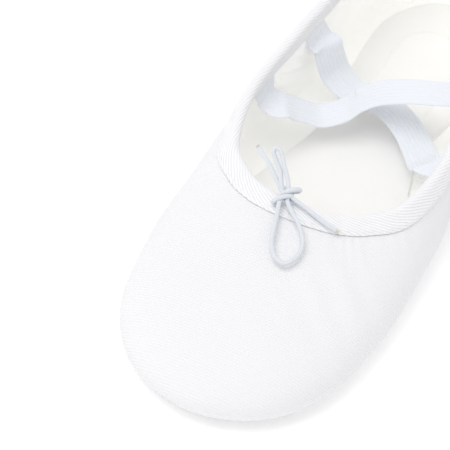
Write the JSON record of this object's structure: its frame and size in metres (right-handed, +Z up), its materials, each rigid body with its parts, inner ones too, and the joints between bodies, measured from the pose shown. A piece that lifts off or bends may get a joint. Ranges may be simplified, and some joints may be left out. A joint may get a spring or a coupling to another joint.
{
  "type": "ballet slipper",
  "caption": "Soft canvas ballet slipper with a drawstring bow in a bound top line, crossed elastic straps and a split suede sole.",
  "frame": {"origin": "centre of the slipper on the ground under its sole", "axes": "+Y from the toe towards the heel, +X across the slipper, +Z up"},
  "size_m": [0.0866, 0.2348, 0.0568],
  "materials": {
    "canvas": "white cotton canvas with fine crosswise ribs",
    "lining": "warm white cotton lining",
    "sock_cloth": "cream cotton drill over the insole",
    "binding_tape": "white twill tape cut on the bias",
    "cord_elastic": "braided white round elastic",
    "strap_elastic": "ribbed white flat elastic",
    "sole_suede": "pale split suede",
    "cushion_foam": "thin foam pad"
  },
  "bodies": {
    "slipper": {"outsole_front": "sole_suede", "outsole_heel": "sole_suede", "forefoot_cushion": "cushion_foam", "heel_cushion": "cushion_foam", "insole_sock": "sock_cloth", "vamp_canvas": "canvas", "quarter_canvas_right": "canvas", "quarter_canvas_left": "canvas", "vamp_lining": "lining", "quarter_lining_right": "lining", "quarter_lining_left": "lining", "heel_seam_tape": "lining", "topline_binding": "binding_tape", "drawstring_in_casing": "cord_elastic", "bow_knot": "cord_elastic", "bow_loop_front": "cord_elastic", "bow_loop_back": "cord_elastic", "bow_end_left": "cord_elastic", "bow_end_right": "cord_elastic", "strap_upper_tab_left": "strap_elastic", "strap_upper_tab_right": "strap_elastic", "strap_lower_tab_left": "strap_elastic", "strap_lower_tab_right": "strap_elastic"},
    "strap_upper": {"strap_upper_span": "strap_elastic"},
    "strap_lower": {"strap_lower_span": "strap_elastic"}
  },
  "joints": [
    {"name": "strap_upper_swing", "type": "hinge", "parent": "slipper", "child": "strap_upper", "pos_m": [-0.02847, 0.00777, 0.02334], "axis": [-0.8656, -0.488, -0.1121], "range_deg": [0, 130]},
    {"name": "strap_lower_swing", "type": "hinge", "parent": "slipper", "child": "strap_lower", "pos_m": [-0.02411, 0.0374, 0.03015], "axis": [0.8656, -0.4881, -0.1121], "range_deg": [0, 25]}
  ]
}
